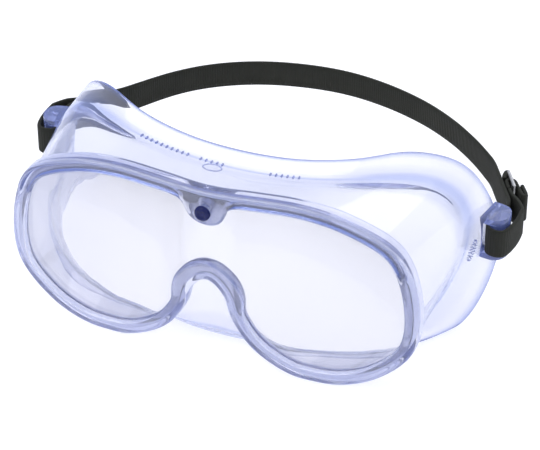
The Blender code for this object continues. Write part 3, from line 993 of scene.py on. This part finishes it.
def makeSlide(material):
    print("slide")
    half = slide["length"] / 2
    tall = slide["height"] / 2
    bar, rail = slide["bar"], tall - slide["rail"]
    columns = [-half, -half + bar, -bar / 2, bar / 2, half - bar, half]
    rows = [-tall, -rail, rail, tall]
    mesh = bmesh.new()
    bmesh.ops.create_grid(mesh, x_segments=5, y_segments=3, size=1.0)
    for vert in mesh.verts:
        i = round((vert.co.x + 1) / 2 * 5)
        j = round((vert.co.y + 1) / 2 * 3)
        vert.co = in3d(onRun(slide["centre"] + columns[i], slide["out"]), hinge[2] + rows[j])
    bmesh.ops.delete(mesh, geom=[windowFace(mesh, columns, k) for k in (1, 3)], context="FACES")
    way = unit(slideWay)
    thicken(mesh, Vector((way[1], -way[0], 0)) * slide["thick"] * mm)
    roundEdges(mesh, sharpEdges(mesh, 0.5), slide["round"] * mm, 4)
    faceOut(mesh)
    piece = makePiece("slideBuckle", mesh, material, 40)
    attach(piece, "adjuster")
    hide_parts("slide_buckle")


def windowFace(mesh, columns, k):
    along = slide["centre"] + (columns[k] + columns[k + 1]) / 2
    middle = in3d(onRun(along, slide["out"]))
    return min(mesh.faces, key=lambda face: (face.calc_center_median() - middle).length)


weave = {
    "cord": 0.0009,         # distance between two warp cords, m
    "dark": (0.003, 0.0035, 0.002, 1),
    "light": (0.03, 0.032, 0.024, 1),
    "speckle": 2600.0,
    "drift": 90.0,
    "rough": 0.7,
    "sheen": 0.06,
    "relief": 0.00025,
}


def weaveMaterial():
    # ribbed elastic: warp cords along the strap under a fine speckle of threads
    material, wire = newMaterial("wovenElastic")
    place = wire.place()
    height = wire.node("ShaderNodeSeparateXYZ", None, {0: place}, 2)
    cords = (height * (1 / weave["cord"])).wave().size()
    speckle = place.noise(weave["speckle"], 3.0)
    drift = place.noise(weave["drift"], 2.0)
    thread = cords * 0.55 + speckle * 0.6
    tone = thread * 0.7 + drift * 0.35 - 0.1
    surface = wire.node("ShaderNodeBsdfPrincipled", None, {
        "Base Color": tone.blend(weave["dark"], weave["light"]),
        "Roughness": speckle * 0.2 + weave["rough"],
        "Specular IOR Level": 0.25,
        "Sheen Weight": weave["sheen"],
        "Sheen Roughness": 0.5,
        "Normal": thread.bump(0.5, weave["relief"]),
    })
    finishMaterial(wire, surface)
    return material


plating = {
    "worn": (0.36, 0.36, 0.37, 1),
    "bright": (0.62, 0.62, 0.63, 1),
    "brush": 3000.0,
    "stretch": (1.0, 1.0, 0.08),
    "wear": 350.0,
    "rough": 0.12,
}


def metalMaterial():
    # plated steel, brushed along its height, duller where it is worn
    material, wire = newMaterial("platedSteel")
    place = wire.place()
    stretched = wire.node("ShaderNodeMapping", None, {"Vector": place, "Scale": plating["stretch"]})
    brush = stretched.noise(plating["brush"], 4.0)
    wear = place.noise(plating["wear"], 5.0)
    surface = wire.node("ShaderNodeBsdfPrincipled", None, {
        "Base Color": wear.blend(plating["worn"], plating["bright"]),
        "Metallic": 1.0,
        "Roughness": brush * 0.2 + wear * 0.15 + plating["rough"],
        "Normal": brush.bump(0.15, 0.00008),
    })
    finishMaterial(wire, surface)
    return material


navy = {"dark": (0.006, 0.009, 0.05, 1), "light": (0.014, 0.02, 0.12, 1), "mottle": 900.0, "rough": 0.1}


def studMaterial():
    # glossy dark blue moulding
    material, wire = newMaterial("navyStud")
    mottle = wire.place().noise(navy["mottle"], 4.0)
    surface = wire.node("ShaderNodeBsdfPrincipled", None, {
        "Base Color": mottle.blend(navy["dark"], navy["light"]),
        "Roughness": mottle * 0.15 + navy["rough"],
        "Specular IOR Level": 0.2,
        "Normal": mottle.bump(0.15, 0.0001),
    })
    finishMaterial(wire, surface)
    return material


softPvc = {
    # the edge colour is painted shade; the two milky blues serve both the plastic's own slight haze and
    # painted shade in creases and lugs
    "clear": (0.955, 0.955, 0.98, 1), "cloudy": (0.9, 0.905, 0.95, 1), "edge": (0.24, 0.33, 0.72, 1),
    "hazeShadeClear": (0.34, 0.42, 0.82, 1), "hazeShadeDeep": (0.2, 0.28, 0.7, 1), "milk": 0.03, "edgeOn": 0.5,
    "inCrease": 0.3, "rough": 0.012, "roughSpread": 0.03, "ior": 1.46, "through": 0.95, "flowScale": 28.0,
    "grainScale": 160.0, "hazeScale": 45.0, "grainShare": 0.08, "bump": 0.18, "bumpDepth": 0.0007,
    "shadow": (0.98, 0.98, 0.99, 1), "deep": (0.2, 0.26, 0.6, 1), "density": 32.0,
}
polycarbonate = {
    "clear": (0.97, 0.97, 0.985, 1), "cloudy": (0.92, 0.925, 0.955, 1), "edge": None,
    "rough": 0.012, "roughSpread": 0.02, "ior": 1.5, "through": 0.95, "flowScale": 12.0, "grainScale": 300.0,
    "hazeScale": 30.0, "grainShare": 0.02, "bump": 0.05, "bumpDepth": 0.0006,
    "shadow": (0.97, 0.97, 0.99, 1), "deep": (0.2, 0.21, 0.36, 1), "density": 125.0,
}
studio = {
    "floorHalf": 8.0,
    "floorDark": (0.9, 0.9, 0.9, 1),
    "floorLight": (0.92, 0.92, 0.92, 1),
    "floorGlow": 0.26,
    "sky": (0.83, 0.87, 1.0, 1),
    "skyStrength": 0.8,
    "lampColour": (1.0, 0.97, 0.92),
    "lampTarget": (0, 0, 0.04),
    # place in m, size in m, power in W
    "lamps": [
        ("keyLight", (-0.45, -0.5, 0.95), 0.9, 5.0),
        ("fillLight", (1.5, -0.6, 1.3), 2.2, 5.0),
        ("backLight", (0.15, 0.9, 1.0), 1.0, 3.0),
    ],
}


def makeStudio():
    print("studio")
    material, wire = newMaterial("paleFloor")
    tone = wire.place().noise(3.0, 2.0)
    surface = wire.node("ShaderNodeBsdfPrincipled", None, {
        "Base Color": tone.blend(studio["floorDark"], studio["floorLight"]),
        "Roughness": 0.9,
        "Specular IOR Level": 0.1,
        "Emission Color": (1.0, 1.0, 1.0, 1),
        "Emission Strength": studio["floorGlow"],
    })
    finishMaterial(wire, surface)
    mesh = bmesh.new()
    bmesh.ops.create_grid(mesh, x_segments=8, y_segments=8, size=studio["floorHalf"])
    bmesh.ops.translate(mesh, vec=(0, 0, cadBox[0].z - 0.0002), verts=mesh.verts[:])
    makePiece("floor", mesh, material)
    world = bpy.data.worlds.new("studio")
    world.use_nodes = True
    sky = world.node_tree.nodes["Background"]
    sky.inputs["Color"].default_value = studio["sky"]
    sky.inputs["Strength"].default_value = studio["skyStrength"]
    bpy.context.scene.world = world
    bpy.context.scene.view_settings.view_transform = "Standard"
    for name, place, size, power in studio["lamps"]:
        light = bpy.data.lights.new(name, "AREA")
        light.shape = "DISK"
        light.size = size
        light.energy = power
        light.color = studio["lampColour"]
        lamp = bpy.data.objects.new(name, light)
        lamp.location = place
        aim = Vector(studio["lampTarget"]) - Vector(place)
        lamp.rotation_euler = aim.to_track_quat("-Z", "Y").to_euler()
        bpy.context.scene.collection.objects.link(lamp)


view = {
    "azimuth": 22.17,
    "elevation": 35.01,
    "distance": 0.801,
    "lens": 155.6,
    "sensor": 36.0,
    "target": (11.4, 30.0, 40.0),    # mm, measured back from the rim's front
}


def makeCamera():
    print("camera")
    a = math.radians(view["azimuth"])
    e = math.radians(view["elevation"])
    back = Vector((math.sin(a) * math.cos(e), -math.cos(a) * math.cos(e), math.sin(e)))
    x, y, z = view["target"]
    target = Vector((x, y + rimFront, z)) * mm
    camera = bpy.data.objects.new("camera", bpy.data.cameras.new("camera"))
    camera.data.lens = view["lens"]
    camera.data.sensor_width = view["sensor"]
    camera.data.clip_start = 0.01
    camera.location = target + back * view["distance"]
    camera.rotation_euler = back.to_track_quat("Z", "Y").to_euler()
    bpy.context.scene.collection.objects.link(camera)
    bpy.context.scene.camera = camera


pvcMaterial = clearPlastic("softClearPvc", softPvc)
lensMaterial = clearPlastic("clearPolycarbonate", polycarbonate)
elasticMaterial = weaveMaterial()

makeFrame(pvcMaterial)
makeLens(lensMaterial)
makeStud(studMaterial())
makeCollar(pvcMaterial)
makeStraps(elasticMaterial)
makeStitches(elasticMaterial)
makeSlide(metalMaterial())
makeStudio()
makeCamera()
